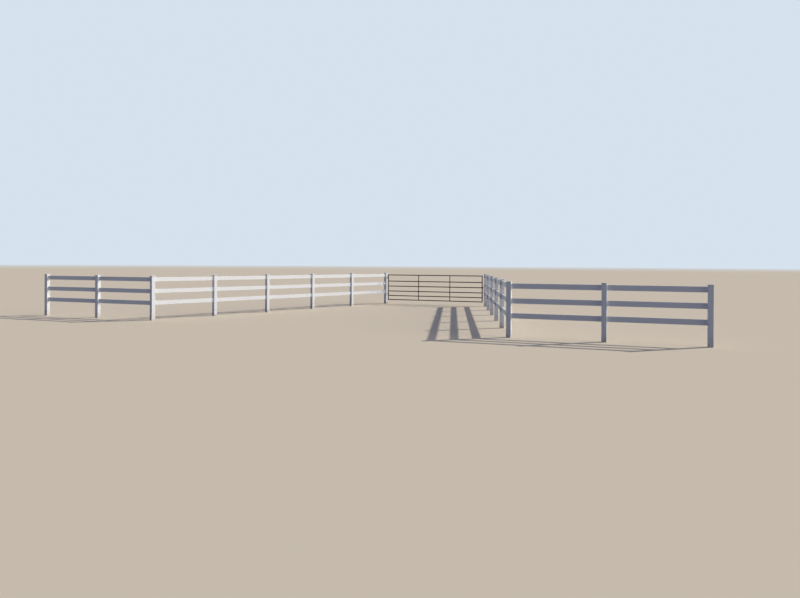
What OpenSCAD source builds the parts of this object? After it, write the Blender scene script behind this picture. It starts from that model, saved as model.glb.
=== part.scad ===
// Ranch entrance: a six-bar tube gate hung between two splayed wings of
// three-rail vinyl fence, each with a short return along the road.
// The origin is the centre of the hinge post's foot. +X runs along the gate
// to the latch post, +Y runs into the field and +Z is up.

/* [Fence layout] */
// Distance between post centres along the fence
bay = 2438; // [1800:1:3000]
// Angle by which each wing opens out from the gate towards the road
splay = 17; // [8:0.5:30]
// Clear width between the faces of the two gate posts
gate_opening = 4860; // [3200:10:6000]
// Line of fence that the left corner post stands square to
left_corner = "wing"; // [wing, road]
// Line of fence that the right corner post stands square to
right_corner = "road"; // [wing, road]

/* [Posts] */
// Outside width of a square post
post_w = 127; // [110:1:150]
// Height of the post tube above the ground
post_h = 1488; // [1340:1:1900]
// Wall thickness of the post tube
post_wall = 3.8; // [3:0.1:6]
// Outside corner radius of the post tube
post_corner_r = 5; // [4:0.5:8]

/* [Post caps] */
// How far the cap's roof stands out past the post
cap_overhang = 9; // [5:0.5:14]
// Depth of the sleeve that fits over the post
cap_sleeve_h = 18; // [10:1:30]
// Thickness of the roof's square edge
cap_edge_h = 6; // [4:0.5:10]
// Rise of the pyramid above the roof's edge
cap_rise = 22; // [12:1:35]
// Wall thickness of the moulded cap
cap_wall = 2.6; // [2:0.1:4]

/* [Rails] */
// Height of a rail's section
rail_h = 140; // [120:1:150]
// Thickness of a rail's section
rail_t = 38; // [30:1:50]
// Wall thickness of a rail
rail_wall = 2.3; // [1.8:0.1:3.5]
// Outside corner radius of a rail
rail_corner_r = 3; // [2:0.5:5]
// Clear height between two rails
rail_gap = 256; // [200:1:280]
// Length of post left above the top rail
rail_drop = 41; // [28:1:120]
// Depth that a rail's end reaches into an end, corner or gate post
rail_grip = 40; // [30:1:45]
// Gap left between two rail ends that meet inside a post
rail_end_gap = 8; // [4:1:14]
// Side and top clearance of a rail in its routed slot
slot_fit = 1; // [0.5:0.1:2]

/* [Gate] */
// Outside diameter of the gate's tubes
gate_tube_d = 44.5; // [40:0.5:50]
// Wall thickness of the gate's tubes
gate_tube_wall = 1.4; // [1.2:0.1:2.5]
// Clear height between the ground and the bottom bar
gate_clearance = 183; // [170:1:190]
// Step from the bottom bar up to the second bar
bar_step_1 = 195; // [190:1:200]
// Step from the second bar up to the third
bar_step_2 = 220; // [210:1:240]
// Step from the third bar up to the fourth
bar_step_3 = 240; // [220:1:250]
// Step from the fourth bar up to the fifth
bar_step_4 = 240; // [220:1:250]
// Step from the fifth bar up to the top bar
bar_step_5 = 300; // [290:1:310]
// Length of stile left above the top bar and below the bottom bar
stile_overrun = 6; // [3:1:10]
// Gap between the latch stile and the face of the latch post
latch_gap = 60; // [58:1:90]
// Width of an upright channel
upright_w = 32; // [26:1:45]
// Depth of an upright channel, web to flange edge
upright_depth = 20; // [14:1:22]
// Plate thickness of an upright channel
upright_wall = 2.5; // [2:0.1:4]

/* [Hinges] */
// Diameter of the round bar that each hinge hook is bent from
hook_d = 16; // [14:0.5:16]
// Distance from the post's face to the hinge pin's axis
hook_standoff = 50; // [48:1:60]
// Centre line radius of the hook's bend
hook_bend_r = 18; // [16:1:22]
// Straight length of pin past the bend
hook_pin_len = 74; // [66:1:76]
// Length of thread that shows past the nut behind the post
hook_tail = 14; // [8:1:30]
// Height of the lower hook's shank above the second bar
lower_hook_rise = 55; // [30:1:120]
// Depth of the upper hook's shank below the top bar
upper_hook_drop = 95; // [50:1:180]
// Outside diameter of a hinge barrel
barrel_d = 26; // [24:0.5:28]
// Height of a hinge barrel
barrel_h = 50; // [40:1:55]
// Length of the web between a barrel and the stile's face
barrel_web = 4.75; // [4:0.25:8]
// Thickness of the web between a barrel and the stile
barrel_web_t = 12; // [8:1:16]
// Running clearance between pin and barrel, all round
pin_fit = 0.3; // [0.2:0.05:0.5]
// Width across the flats of a hook's nut
nut_af = 24; // [22:1:26]
// Height of a hook's nut
nut_h = 10; // [8:1:11]
// Diameter of a hook's washer
washer_d = 40; // [30:1:44]
// Thickness of a hook's washer
washer_t = 3; // [2:0.5:4]

/* [Latch chain] */
// Inside length of a chain link, which is the chain's pitch
link_len = 30; // [26:1:36]
// Inside width of a chain link
link_w = 10; // [9:0.5:12]
// Diameter of the chain's wire
link_wire = 6; // [5:0.5:6.5]
// Number of links
link_count = 18; // [4:1:18]
// Height of the middle of the chain plate above the fourth bar
chain_plate_rise = 10; // [-40:1:60]
// Height of the chain plate
chain_plate_h = 96; // [90:1:110]
// Width of the chain plate, out from the stile
chain_plate_w = 32; // [30:1:34]
// Thickness of the chain plate
chain_plate_t = 6; // [5:0.5:7]
// Corner radius of the chain plate
chain_plate_r = 9; // [4:0.5:11]

/* [Hidden] */
// Bays in each wing, and in each return along the road
WING_BAYS = 5;
ROAD_BAYS = 2;
RAILS = 3;
// Gap between solids that are welded, glued or cast together
seat = 0.2;
// Diametral clearance of a bolt in its nut, washer or drilled hole
bolt_fit = 1;
// Clearance of a cap's sleeve round the post
cap_fit = 0.4;
// How far a cut runs past the face that it leaves
past = 1;
$fn = 48;

rail_pitch = rail_h + rail_gap;
lowest_rail_z = post_h - rail_drop - rail_h - (RAILS - 1) * rail_pitch;
gate_cc = gate_opening + post_w;
gate_r = gate_tube_d / 2;
hook_r = hook_d / 2;
// The hook leaves the post square to its face, and the post is turned with
// the wing, so the pin stands out along the wing's inner normal.
pin_reach = post_w / 2 + hook_standoff;
pin_x = pin_reach * cos(splay);
gate_y = -pin_reach * sin(splay);
hinge_stile_x = pin_x + barrel_d / 2 + barrel_web + gate_r;
latch_stile_x = gate_cc - post_w / 2 - latch_gap - gate_r;
bar_steps = [0, bar_step_1, bar_step_2, bar_step_3, bar_step_4, bar_step_5];
function bar_z(i) = gate_clearance + gate_r + climb(i);
function climb(i) = i == 0 ? 0 : bar_steps[i] + climb(i - 1);
TOP_BAR = len(bar_steps) - 1;
lower_hook_z = bar_z(1) + lower_hook_rise;
upper_hook_z = bar_z(TOP_BAR) - upper_hook_drop;
stile_z0 = bar_z(0) - gate_r - stile_overrun;
stile_z1 = bar_z(TOP_BAR) + gate_r + stile_overrun;
wing_len = WING_BAYS * bay;
// Clearance between two links of the hanging chain
link_fit = 0.3;
// Clearance of a link in the plate's hole, keyhole and slot, all round
link_play = 1.5;
chain_plate_z = bar_z(3) + chain_plate_rise;
chain_plate_edge = 6;
chain_hole_r = link_wire / 2 + 2.5;
keyhole_r = link_w / 2 + link_wire / 2 + link_play;
keyhole_slot_w = link_wire + link_play;
chain_x = latch_stile_x + gate_r + chain_plate_w - chain_plate_edge - keyhole_r;

// Frames of reference. Each line of fence runs along its own +X.
module wing_line() rotate([0, 0, -90 - splay]) children();
module corner_frame() translate([-wing_len * sin(splay), -wing_len * cos(splay), 0]) children();
module road_line() corner_frame() rotate([0, 0, 180]) children();
module right_side() translate([gate_cc, 0, 0]) mirror([1, 0, 0]) children();

// A rectangle w by h about the origin, with corners of radius r.
module rounded_rect(w, h, r) {
    square([w - 2 * r, h], center = true);
    square([w, h - 2 * r], center = true);
    for (x = [-1, 1], y = [-1, 1])
        translate([x * (w / 2 - r), y * (h / 2 - r)]) circle(r);
}

// Vinyl parts

// An extruded post tube with slots routed for rails that leave at each angle.
module post(headings) {
    color("white")
    difference() {
        linear_extrude(post_h) difference() {
            rounded_rect(post_w, post_w, post_corner_r);
            rounded_rect(post_w - 2 * post_wall, post_w - 2 * post_wall,
                         max(post_corner_r - post_wall, 1));
        }
        for (a = headings) rotate([0, 0, a]) rail_slots();
    }
}

// The rail's outline, cut outwards from the middle of the post. A rail rests
// on the slot's lower edge, so the clearance is at its sides and top.
module rail_slots() {
    for (i = [0 : RAILS - 1])
        translate([0, -rail_t / 2 - slot_fit, lowest_rail_z + i * rail_pitch])
            cube([post_w, rail_t + 2 * slot_fit, rail_h + slot_fit]);
}

// The post where a wing meets its return, square to one of the two lines.
module corner_post(square_to) {
    if (square_to == "wing")
        wing_line() translate([wing_len, 0, 0]) post([180, splay - 90]);
    else
        corner_frame() post([180, 90 - splay]);
}

// Distance from a corner post's middle to its face, along a line of fence.
function corner_face(line, square_to) = post_w / 2 / (line == square_to ? 1 : cos(splay));

// A gate post is drilled through for the two hinge hooks.
module hinge_post() {
    difference() {
        post([0]);
        for (z = [lower_hook_z, upper_hook_z])
            translate([0, 0, z]) rotate([90, 0, 0])
                cylinder(d = hook_d + bolt_fit, h = post_w + 2 * past, center = true);
    }
}

// A hollow rail section: two ribs divide it into three chambers.
module rail_section() {
    rib_t = rail_wall * 0.8;
    chamber_h = (rail_h - 2 * rail_wall - 2 * rib_t) / 3;
    difference() {
        rounded_rect(rail_t, rail_h, rail_corner_r);
        for (i = [-1 : 1])
            translate([0, i * (chamber_h + rib_t)])
                square([rail_t - 2 * rail_wall, chamber_h], center = true);
    }
}

// Three rails that run from x0 to x1 along a line of fence.
module rails(x0, x1) {
    color("white")
    for (i = [0 : RAILS - 1])
        translate([x0, 0, lowest_rail_z + rail_h / 2 + i * rail_pitch])
            rotate([90, 0, 90]) linear_extrude(x1 - x0) rail_section();
}

// The wing's rails are two double lengths, which pass through every other
// post, and a single length to the corner. Ends meet inside a post.
module wing_rails(set, corner) {
    gate_end = post_w / 2 - rail_grip;
    corner_end = wing_len - corner_face("wing", corner) + rail_grip;
    starts = [gate_end, 2 * bay + rail_end_gap / 2, 4 * bay + rail_end_gap / 2];
    ends = [2 * bay - rail_end_gap / 2, 4 * bay - rail_end_gap / 2, corner_end];
    wing_line() rails(starts[set], ends[set]);
}

// The return's rails are one double length.
module road_rails(corner) {
    corner_end = corner_face("road", corner) - rail_grip;
    far_end = ROAD_BAYS * bay - post_w / 2 + rail_grip;
    road_line() rails(corner_end, far_end);
}

// A solid pyramid on a square base of side w, with its point h above it.
module pyramid(w, h) rotate([0, 0, 45]) cylinder(r1 = w / sqrt(2), r2 = 0, h = h, $fn = 4);

// The cap's roof: a square edge with a low pyramid on it.
module cap_roof() {
    roof_w = post_w + 2 * cap_overhang;
    translate([0, 0, cap_edge_h / 2]) cube([roof_w, roof_w, cap_edge_h], center = true);
    translate([0, 0, cap_edge_h]) pyramid(roof_w, cap_rise);
}

// A moulded cap: a sleeve round the post under a roof of even thickness,
// which rests on the tube's rim.
module post_cap() {
    sleeve_in = post_w + 2 * cap_fit;
    sleeve_out = sleeve_in + 2 * cap_wall;
    hollow_w = post_w - 4 * post_wall;
    color("white")
    translate([0, 0, post_h]) difference() {
        union() {
            translate([0, 0, -cap_sleeve_h / 2])
                cube([sleeve_out, sleeve_out, cap_sleeve_h], center = true);
            cap_roof();
        }
        translate([0, 0, -cap_sleeve_h / 2 - past / 2])
            cube([sleeve_in, sleeve_in, cap_sleeve_h + past], center = true);
        intersection() {
            translate([0, 0, -cap_wall]) cap_roof();
            cube([hollow_w, hollow_w, 4 * (cap_rise + cap_edge_h)], center = true);
        }
    }
}

// The eight caps of one side's posts. The corner's cap is turned as its post.
module side_caps(corner) {
    last_on_wing = corner == "wing" ? WING_BAYS : WING_BAYS - 1;
    first_on_road = last_on_wing - WING_BAYS + 1;
    wing_line() for (k = [0 : last_on_wing]) translate([k * bay, 0, 0]) post_cap();
    road_line() for (k = [first_on_road : ROAD_BAYS]) translate([k * bay, 0, 0]) post_cap();
}

// The concrete that fills a gate post, cast round the ends of its rails.
module post_core(hooks) {
    w = post_w - 2 * post_wall - 2 * seat;
    color("darkgray")
    difference() {
        linear_extrude(post_h - cap_sleeve_h)
            rounded_rect(w, w, max(post_corner_r - post_wall, 1));
        for (i = [0 : RAILS - 1])
            translate([post_w / 2 - rail_grip - seat, -rail_t / 2 - seat,
                       lowest_rail_z + i * rail_pitch - seat])
                cube([rail_grip, rail_t + 2 * seat, rail_h + 2 * seat]);
        for (z = hooks)
            translate([0, 0, z]) rotate([90, 0, 0])
                cylinder(d = hook_d + 2 * seat, h = post_w, center = true);
    }
}

// Hinges

// A bar bent square: a shank through the post, then a pin that points up
// (way = 1) or down (way = -1), with a shoulder for the barrel.
module hinge_hook(z, way) {
    tail = post_w / 2 + washer_t + seat + nut_h + hook_tail;
    bend_y = pin_reach - hook_bend_r;
    color("silver")
    translate([0, 0, z]) mirror([0, 0, way > 0 ? 0 : 1]) {
        translate([0, -tail, 0]) rotate([-90, 0, 0])
            cylinder(d = hook_d, h = tail + bend_y);
        translate([0, bend_y, hook_bend_r]) rotate([90, 0, 90]) rotate([0, 0, -90])
            rotate_extrude(angle = 90) translate([hook_bend_r, 0]) circle(hook_r);
        translate([0, pin_reach, hook_bend_r]) cylinder(d = hook_d, h = hook_pin_len);
        translate([0, pin_reach, hook_bend_r]) cylinder(d = barrel_d, h = washer_t);
    }
}

// A washer and a nut against each face of the post, on both hooks.
module hook_nuts_and_washers() {
    color("silver")
    for (z = [lower_hook_z, upper_hook_z], side = [0, 180])
        translate([0, 0, z]) rotate([0, 0, side]) translate([0, post_w / 2, 0])
            rotate([-90, 0, 0]) {
                ring(washer_d, hook_d + bolt_fit, washer_t);
                translate([0, 0, washer_t + seat]) hex_nut();
            }
}

// A hex nut whose six corners are turned down to the usual chamfer.
module hex_nut() {
    across_corners = nut_af / cos(30);
    chamfer_w = (across_corners - nut_af) / 2;
    chamfer_h = chamfer_w * tan(30);
    difference() {
        intersection() {
            cylinder(d = across_corners, h = nut_h, $fn = 6);
            union() {
                cylinder(d1 = nut_af, d2 = across_corners, h = chamfer_h);
                translate([0, 0, chamfer_h])
                    cylinder(d = across_corners, h = nut_h - 2 * chamfer_h);
                translate([0, 0, nut_h - chamfer_h])
                    cylinder(d1 = across_corners, d2 = nut_af, h = chamfer_h);
            }
        }
        translate([0, 0, -past]) cylinder(d = hook_d + 2 * seat, h = nut_h + 2 * past);
    }
}

module ring(outer, inner, h) {
    difference() {
        cylinder(d = outer, h = h);
        translate([0, 0, -past]) cylinder(d = inner, h = h + 2 * past);
    }
}

// A short tube on the pin, with a web welded to the hinge stile.
module hinge_barrel(z, way) {
    foot = hook_bend_r + washer_t + pin_fit;
    z0 = way > 0 ? z + foot : z - foot - barrel_h;
    color("dimgray")
    difference() {
        translate([pin_x, gate_y, z0]) union() {
            cylinder(d = barrel_d, h = barrel_h);
            translate([0, -barrel_web_t / 2, 0])
                cube([hinge_stile_x - pin_x, barrel_web_t, barrel_h]);
        }
        translate([pin_x, gate_y, z0 - past])
            cylinder(d = hook_d + 2 * pin_fit, h = barrel_h + 2 * past);
        translate([hinge_stile_x, gate_y, z0 - past])
            cylinder(r = gate_r + seat, h = barrel_h + 2 * past);
    }
}

// Gate

// An upright end tube of the gate.
module stile(x) {
    color("dimgray")
    translate([x, gate_y, stile_z0])
        ring(gate_tube_d, gate_tube_d - 2 * gate_tube_wall, stile_z1 - stile_z0);
}

// A bar between the stiles, with its ends coped round them.
module gate_bar(i) {
    color("dimgray")
    difference() {
        translate([hinge_stile_x, gate_y, bar_z(i)]) rotate([0, 90, 0])
            ring(gate_tube_d, gate_tube_d - 2 * gate_tube_wall, latch_stile_x - hinge_stile_x);
        for (x = [hinge_stile_x, latch_stile_x])
            translate([x, gate_y, bar_z(i) - gate_tube_d])
                cylinder(r = gate_r + seat, h = 2 * gate_tube_d);
    }
}

// A folded channel on the field side of the bars. Its flanges are notched to
// half round each bar, and its web lies against the bars.
module upright(x) {
    web_y = gate_y + gate_r + seat;
    z0 = bar_z(0) - gate_r;
    h = bar_z(TOP_BAR) + gate_r - z0;
    color("dimgray")
    difference() {
        translate([x - upright_w / 2, web_y + upright_wall - upright_depth, z0])
            cube([upright_w, upright_depth, h]);
        translate([x - upright_w / 2 + upright_wall, web_y - upright_depth, z0 - past])
            cube([upright_w - 2 * upright_wall, upright_depth, h + 2 * past]);
        for (i = [0 : TOP_BAR])
            translate([x - upright_w, gate_y, bar_z(i)]) rotate([0, 90, 0])
                cylinder(r = gate_r + seat, h = 2 * upright_w);
    }
}

// Pressed plugs that close the stiles' four ends.
module stile_plugs() {
    plug_flange = 2.5;
    plug_depth = 14;
    color("black")
    for (x = [hinge_stile_x, latch_stile_x], end = [0, 1])
        translate([x, gate_y, end ? stile_z1 : stile_z0]) mirror([0, 0, end ? 0 : 1]) {
            cylinder(d = gate_tube_d, h = plug_flange);
            translate([0, 0, -plug_depth])
                cylinder(d = gate_tube_d - 2 * gate_tube_wall - 2 * seat, h = plug_depth);
        }
}

// Latch

// A plate on the latch stile. The chain hangs from its lower hole, and a link
// drops into the keyhole above once the chain is round the post. It is drawn
// as an outline, with +X out from the stile and +Y up, and then stood on edge.
module chain_plate() {
    color("dimgray")
    difference() {
        translate([0, gate_y + chain_plate_t / 2, chain_plate_z]) rotate([90, 0, 0])
            linear_extrude(chain_plate_t) chain_plate_outline();
        translate([latch_stile_x, gate_y, chain_plate_z - chain_plate_h])
            cylinder(r = gate_r + seat, h = 2 * chain_plate_h);
    }
}

module chain_plate_outline() {
    x1 = latch_stile_x + gate_r + chain_plate_w;
    half_h = chain_plate_h / 2;
    key_y = half_h - chain_plate_edge - keyhole_r;
    hole_y = -half_h + chain_plate_edge + chain_hole_r;
    slot_len = keyhole_r + 16;
    difference() {
        union() {
            translate([latch_stile_x, -half_h])
                square([x1 - chain_plate_r - latch_stile_x, chain_plate_h]);
            translate([latch_stile_x, -half_h + chain_plate_r])
                square([x1 - latch_stile_x, chain_plate_h - 2 * chain_plate_r]);
            for (y = [-1, 1])
                translate([x1 - chain_plate_r, y * (half_h - chain_plate_r)]) circle(chain_plate_r);
        }
        translate([chain_x, hole_y]) circle(chain_hole_r);
        translate([chain_x, key_y]) circle(keyhole_r);
        translate([chain_x - keyhole_slot_w / 2, key_y - slot_len])
            square([keyhole_slot_w, slot_len]);
        translate([chain_x, key_y - slot_len]) circle(keyhole_slot_w / 2);
    }
}

// One welded link: two half rings joined by straight sides, hanging in the
// XZ plane about its own middle.
module chain_link() {
    bend_r = (link_w + link_wire) / 2;
    side = link_len - link_w;
    rotate([90, 0, 0])
    for (end = [0, 180]) rotate([0, 0, end]) {
        translate([0, side / 2, 0]) rotate_extrude(angle = 180, $fn = 48)
            translate([bend_r, 0]) circle(link_wire / 2, $fn = 24);
        translate([bend_r, -side / 2, 0]) rotate([-90, 0, 0])
            cylinder(d = link_wire, h = side, $fn = 24);
    }
}

// The chain hangs straight down from its plate, every second link turned.
module latch_chain() {
    // A bend of inner radius link_w / 2 rides on the edges of the plate.
    ride = link_w / 2 - sqrt(pow(link_w / 2, 2) - pow(chain_plate_t / 2, 2)) + link_fit;
    rest_z = chain_plate_z - chain_plate_h / 2 + chain_plate_edge + ride;
    pitch = link_len - link_fit;
    color("silver")
    for (i = [0 : link_count - 1])
        translate([chain_x, gate_y, rest_z - link_len / 2 - i * pitch])
            rotate([0, 0, i % 2 == 0 ? 90 : 0]) chain_link();
}

wing_line() hinge_post();
right_side() wing_line() post([0]);  // latch_post
for (k = [1 : WING_BAYS - 1]) {
    wing_line() translate([k * bay, 0, 0]) post([0, 180]);
    right_side() wing_line() translate([k * bay, 0, 0]) post([0, 180]);
}
corner_post(left_corner);  // left_corner_post
right_side() corner_post(right_corner);  // right_corner_post
road_line() translate([bay, 0, 0]) post([0, 180]);  // left_road_post
right_side() road_line() translate([bay, 0, 0]) post([0, 180]);  // right_road_post
road_line() translate([ROAD_BAYS * bay, 0, 0]) post([180]);  // left_end_post
right_side() road_line() translate([ROAD_BAYS * bay, 0, 0]) post([180]);  // right_end_post
side_caps(left_corner);  // left_post_caps
right_side() side_caps(right_corner);  // right_post_caps
wing_line() post_core([lower_hook_z, upper_hook_z]);  // hinge_post_core
right_side() wing_line() post_core([]);  // latch_post_core
for (set = [0 : 2]) {
    wing_rails(set, left_corner);
    right_side() wing_rails(set, right_corner);
}
road_rails(left_corner);  // left_road_rails
right_side() road_rails(right_corner);  // right_road_rails
wing_line() hinge_hook(upper_hook_z, -1);  // upper_hinge_hook
wing_line() hinge_hook(lower_hook_z, 1);  // lower_hinge_hook
wing_line() hook_nuts_and_washers();
stile(hinge_stile_x);  // hinge_stile
stile(latch_stile_x);  // latch_stile
gate_bar(0);  // gate_bottom_bar
for (i = [1 : TOP_BAR - 1])
    gate_bar(i);
gate_bar(TOP_BAR);  // gate_top_bar
upright(hinge_stile_x + (latch_stile_x - hinge_stile_x) / 3);  // left_upright
upright(hinge_stile_x + (latch_stile_x - hinge_stile_x) * 2 / 3);  // right_upright
hinge_barrel(upper_hook_z, -1);  // upper_hinge_barrel
hinge_barrel(lower_hook_z, 1);  // lower_hinge_barrel
stile_plugs();
chain_plate();
latch_chain();
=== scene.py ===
# %% [markdown]
# # A ranch gateway in white vinyl, with a tube gate
# The frame already holds every post, rail and tube at its real size, so this
# lesson adds what a construction model leaves out: the finish of each
# surface, the moulded caps, the threads and nuts of the hinges, the chain and
# the welds. Everything is in metres, in the frame's own axes: X runs along
# the closed gate, Y runs through it, away from the camera, and Z is up.

# %% Load the frame
import math

import bpy
import numpy as np
from mathutils import Matrix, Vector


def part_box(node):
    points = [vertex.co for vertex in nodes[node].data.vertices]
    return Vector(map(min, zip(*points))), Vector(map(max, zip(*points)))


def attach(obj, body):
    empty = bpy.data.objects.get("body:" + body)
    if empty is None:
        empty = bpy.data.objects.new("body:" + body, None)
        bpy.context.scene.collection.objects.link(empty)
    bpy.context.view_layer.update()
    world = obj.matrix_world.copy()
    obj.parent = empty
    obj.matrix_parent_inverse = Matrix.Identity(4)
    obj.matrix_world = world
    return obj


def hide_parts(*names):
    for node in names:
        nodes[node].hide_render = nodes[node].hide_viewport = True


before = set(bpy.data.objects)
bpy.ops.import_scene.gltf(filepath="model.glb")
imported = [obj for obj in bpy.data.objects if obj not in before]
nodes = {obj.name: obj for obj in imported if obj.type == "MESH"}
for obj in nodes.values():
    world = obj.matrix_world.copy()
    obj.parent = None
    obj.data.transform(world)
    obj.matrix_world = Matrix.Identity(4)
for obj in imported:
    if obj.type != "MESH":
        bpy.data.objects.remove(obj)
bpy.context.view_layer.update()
MM = 0.001

# %% [markdown]
# ## Where things are
# A new piece has to sit on what carries it. Its place could be typed in, but
# then it would be left behind when the model changes, so it is read from the
# frame. A node's box gives its middle and its widths, and the middles of two
# posts give the heading of the fence between them.


# %% Places read from the frame
def middle(node):
    """The middle of a node's box: halfway between its lowest and highest corner."""
    low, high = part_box(node)
    return (np.array(low) + np.array(high)) / 2


def span(node):
    """A node's box as its three widths."""
    low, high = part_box(node)
    return np.array(high) - np.array(low)


def heading(start, end):
    """The angle about Z of the line from one node's middle to another's."""
    along = middle(end) - middle(start)
    return math.atan2(along[1], along[0])


HEADINGS = {
    "left_wing": heading("hinge_post", "left_corner_post"),
    "right_wing": heading("latch_post", "right_corner_post"),
    "road": 0.0,
}
print("headings in degrees", {run: round(math.degrees(turn), 2) for run, turn in HEADINGS.items()})

# %% [markdown]
# ## The camera
# The photograph was taken from about 2 m up with a short lens. The view could
# be turned by hand until it looks right, but a fit is surer: a pinhole camera
# was fitted to the tops and feet of twelve posts, and its place, turn and
# focal length are repeated here. The fitted camera is level, yet its eye
# level lies above the middle of the picture, as with a shifted lens or a
# cropped picture, so the same shift is set here. It keeps posts upright that
# a camera tipped down would spread apart.

# %% Camera
PICTURE_W = 800
FOCAL_PX = 627.55
SENSOR_MM = 36.0
CAMERA_AT = (12.066, -28.285, 1.961)
YAW, PITCH, ROLL = (math.radians(v) for v in (21.056, 0.094, 0.326))
SHIFT = (-0.01054, -0.04306)
FARTHEST = 2000.0


def camera_axes(yaw, pitch, roll):
    """Columns right, up and back. Yaw turns the view to the left of +Y, pitch tips it down, and roll turns
    right and up about the line of sight, to right cos + up sin and up cos - right sin."""
    ahead = np.array([-math.sin(yaw) * math.cos(pitch), math.cos(yaw) * math.cos(pitch), -math.sin(pitch)])
    right = np.array([math.cos(yaw), math.sin(yaw), 0.0])
    up = np.cross(right, ahead)
    rolled_right = math.cos(roll) * right + math.sin(roll) * up
    rolled_up = math.cos(roll) * up - math.sin(roll) * right
    return np.stack([rolled_right, rolled_up, -ahead], axis=1)


lens = bpy.data.cameras.new("camera")
lens.sensor_width = SENSOR_MM
lens.lens = FOCAL_PX / PICTURE_W * SENSOR_MM
lens.shift_x, lens.shift_y = SHIFT
lens.clip_end = FARTHEST
camera = bpy.data.objects.new("camera", lens)
bpy.context.scene.collection.objects.link(camera)
turned_view = Matrix(camera_axes(YAW, PITCH, ROLL).tolist()).to_4x4()
camera.matrix_world = Matrix.Translation(CAMERA_AT) @ turned_view
bpy.context.scene.camera = camera
print("lens", round(lens.lens, 3), "mm at", CAMERA_AT)

# %% [markdown]
# ## Nodes and colours
# Paint charts give colours as sRGB hex values, but a shader works with linear
# light, so one function turns each value. A node tree could be built with a
# function for each kind of node, but one that takes any kind is enough: it
# adds the node with its settings, its socket values and its links.


# %% Colour and node helpers
def srgb(code):
    """Linear red, green, blue and alpha from a hex value: c / 12.92 below 0.04045, and
    ((c + 0.055) / 1.055) ** 2.4 above it."""
    parts = [int(code[i : i + 2], 16) / 255 for i in (1, 3, 5)]
    linear = [c / 12.92 if c <= 0.04045 else ((c + 0.055) / 1.055) ** 2.4 for c in parts]
    return (*linear, 1.0)


def add(tree, kind, values=None, links=None, **settings):
    """Adds a node with its own settings. values fill its sockets, and links join other nodes' outputs to
    them."""
    node = tree.nodes.new(kind)
    for name, value in settings.items():
        setattr(node, name, value)
    for socket, value in (values or {}).items():
        node.inputs[socket].default_value = value
    for socket, output in (links or {}).items():
        tree.links.new(output, node.inputs[socket])
    return node


def new_tree(owner):
    """The owner's empty node tree."""
    owner.use_nodes = True
    owner.node_tree.nodes.clear()
    return owner.node_tree


print("mid grey #808080 is", round(srgb("#808080")[0], 3), "in linear light")

# %% [markdown]
# ## Patches at a real size
# Dirt, streaks and grain are all patches of some real length, width and
# height. A picture of dirt would blur close up and repeat along the fence, so
# the patches are noise. A Texture-type Mapping divides the object's own
# coordinates by the patch's size, so each pattern below is given in
# millimetres on the fence, and not as a scale to be guessed.


# %% Patches
def patches(tree, size, shown, turn=0.0, offset=0.0, detail=4.0):
    """A mask from 0 to 1: noise on Object coordinates, turned by -turn about Z and divided by size, one
    number or three in millimetres. The noise from shown[0] to shown[1] is drawn out to run from 0 to 1, and
    offset moves it, so that no two patterns lie on each other."""
    at = add(tree, "ShaderNodeTexCoord").outputs["Object"]
    scale = tuple(np.broadcast_to(size, 3) * MM)
    place = {"Location": (offset, offset, offset), "Rotation": (0.0, 0.0, turn), "Scale": scale}
    placed = add(tree, "ShaderNodeMapping", place, {"Vector": at}, vector_type="TEXTURE")
    noise = add(tree, "ShaderNodeTexNoise", {"Scale": 1.0, "Detail": detail}, {"Vector": placed.outputs[0]})
    reach = {"From Min": shown[0], "From Max": shown[1]}
    return add(tree, "ShaderNodeMapRange", reach, {"Value": noise.outputs["Fac"]}).outputs[0]


print("patches of 18 x 18 x 12 mm have a scale of", (np.array((18, 18, 12)) * MM).tolist())

# %% [markdown]
# ## Zones
# Dust lies on what faces up, and rain splashes soil only so far up a post.
# Such places could be painted on each piece by hand. A zone finds them by
# itself: it reads how high a point is, or how far its face looks up.

# %% Zones
HEIGHT = ("ShaderNodeTexCoord", "Object")
TILT = ("ShaderNodeNewGeometry", "Normal")


def zone(tree, source, start, end, least=0.0):
    """A mask from the Z of a source, in metres for HEIGHT, or 1 straight up for TILT: least where it is at
    start, 1 where it is at end, and a smooth step between."""
    kind, output = source
    vector = add(tree, kind).outputs[output]
    z = add(tree, "ShaderNodeSeparateXYZ", links={0: vector}).outputs[2]
    reach = {"From Min": start, "From Max": end, "To Min": least}
    return add(tree, "ShaderNodeMapRange", reach, {"Value": z}, interpolation_type="SMOOTHSTEP").outputs[0]


print("zones by height or tilt:", HEIGHT[1], TILT[1])

# %% [markdown]
# ## Films and the shader
# What sits on a surface is a thin film that lets its colour through, so a
# finish is a base colour with films laid over it, each where its masks are.
# Separate materials for dirty and clean faces would show hard edges. The same
# masks give the roughness and the bump, so that dust is also dull and a die
# line is also felt.


# %% Films
# The places of the Mix node's colour sockets: its factor, its two colours and its result.
FACTOR, UNDER, OVER, MIXED = 0, 6, 7, 2


def films(tree, base, *layers):
    """The base colour under films. Each layer is a colour, the most that it covers, and its masks: the cover
    is that most times all the masks, and the mix is under * (1 - cover) + colour * cover."""
    values, links = {UNDER: srgb(base)}, {}
    for colour, most, *masks in layers:
        cover = masks[0]
        for mask in masks[1:]:
            cover = add(tree, "ShaderNodeMath", links={0: cover, 1: mask}, operation="MULTIPLY").outputs[0]
        cover = add(tree, "ShaderNodeMath", {1: most}, {0: cover}, operation="MULTIPLY").outputs[0]
        values[OVER], links[FACTOR] = srgb(colour), cover
        mixed = add(tree, "ShaderNodeMix", values, links, data_type="RGBA").outputs[MIXED]
        values, links = {}, {UNDER: mixed}
    return mixed


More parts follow.
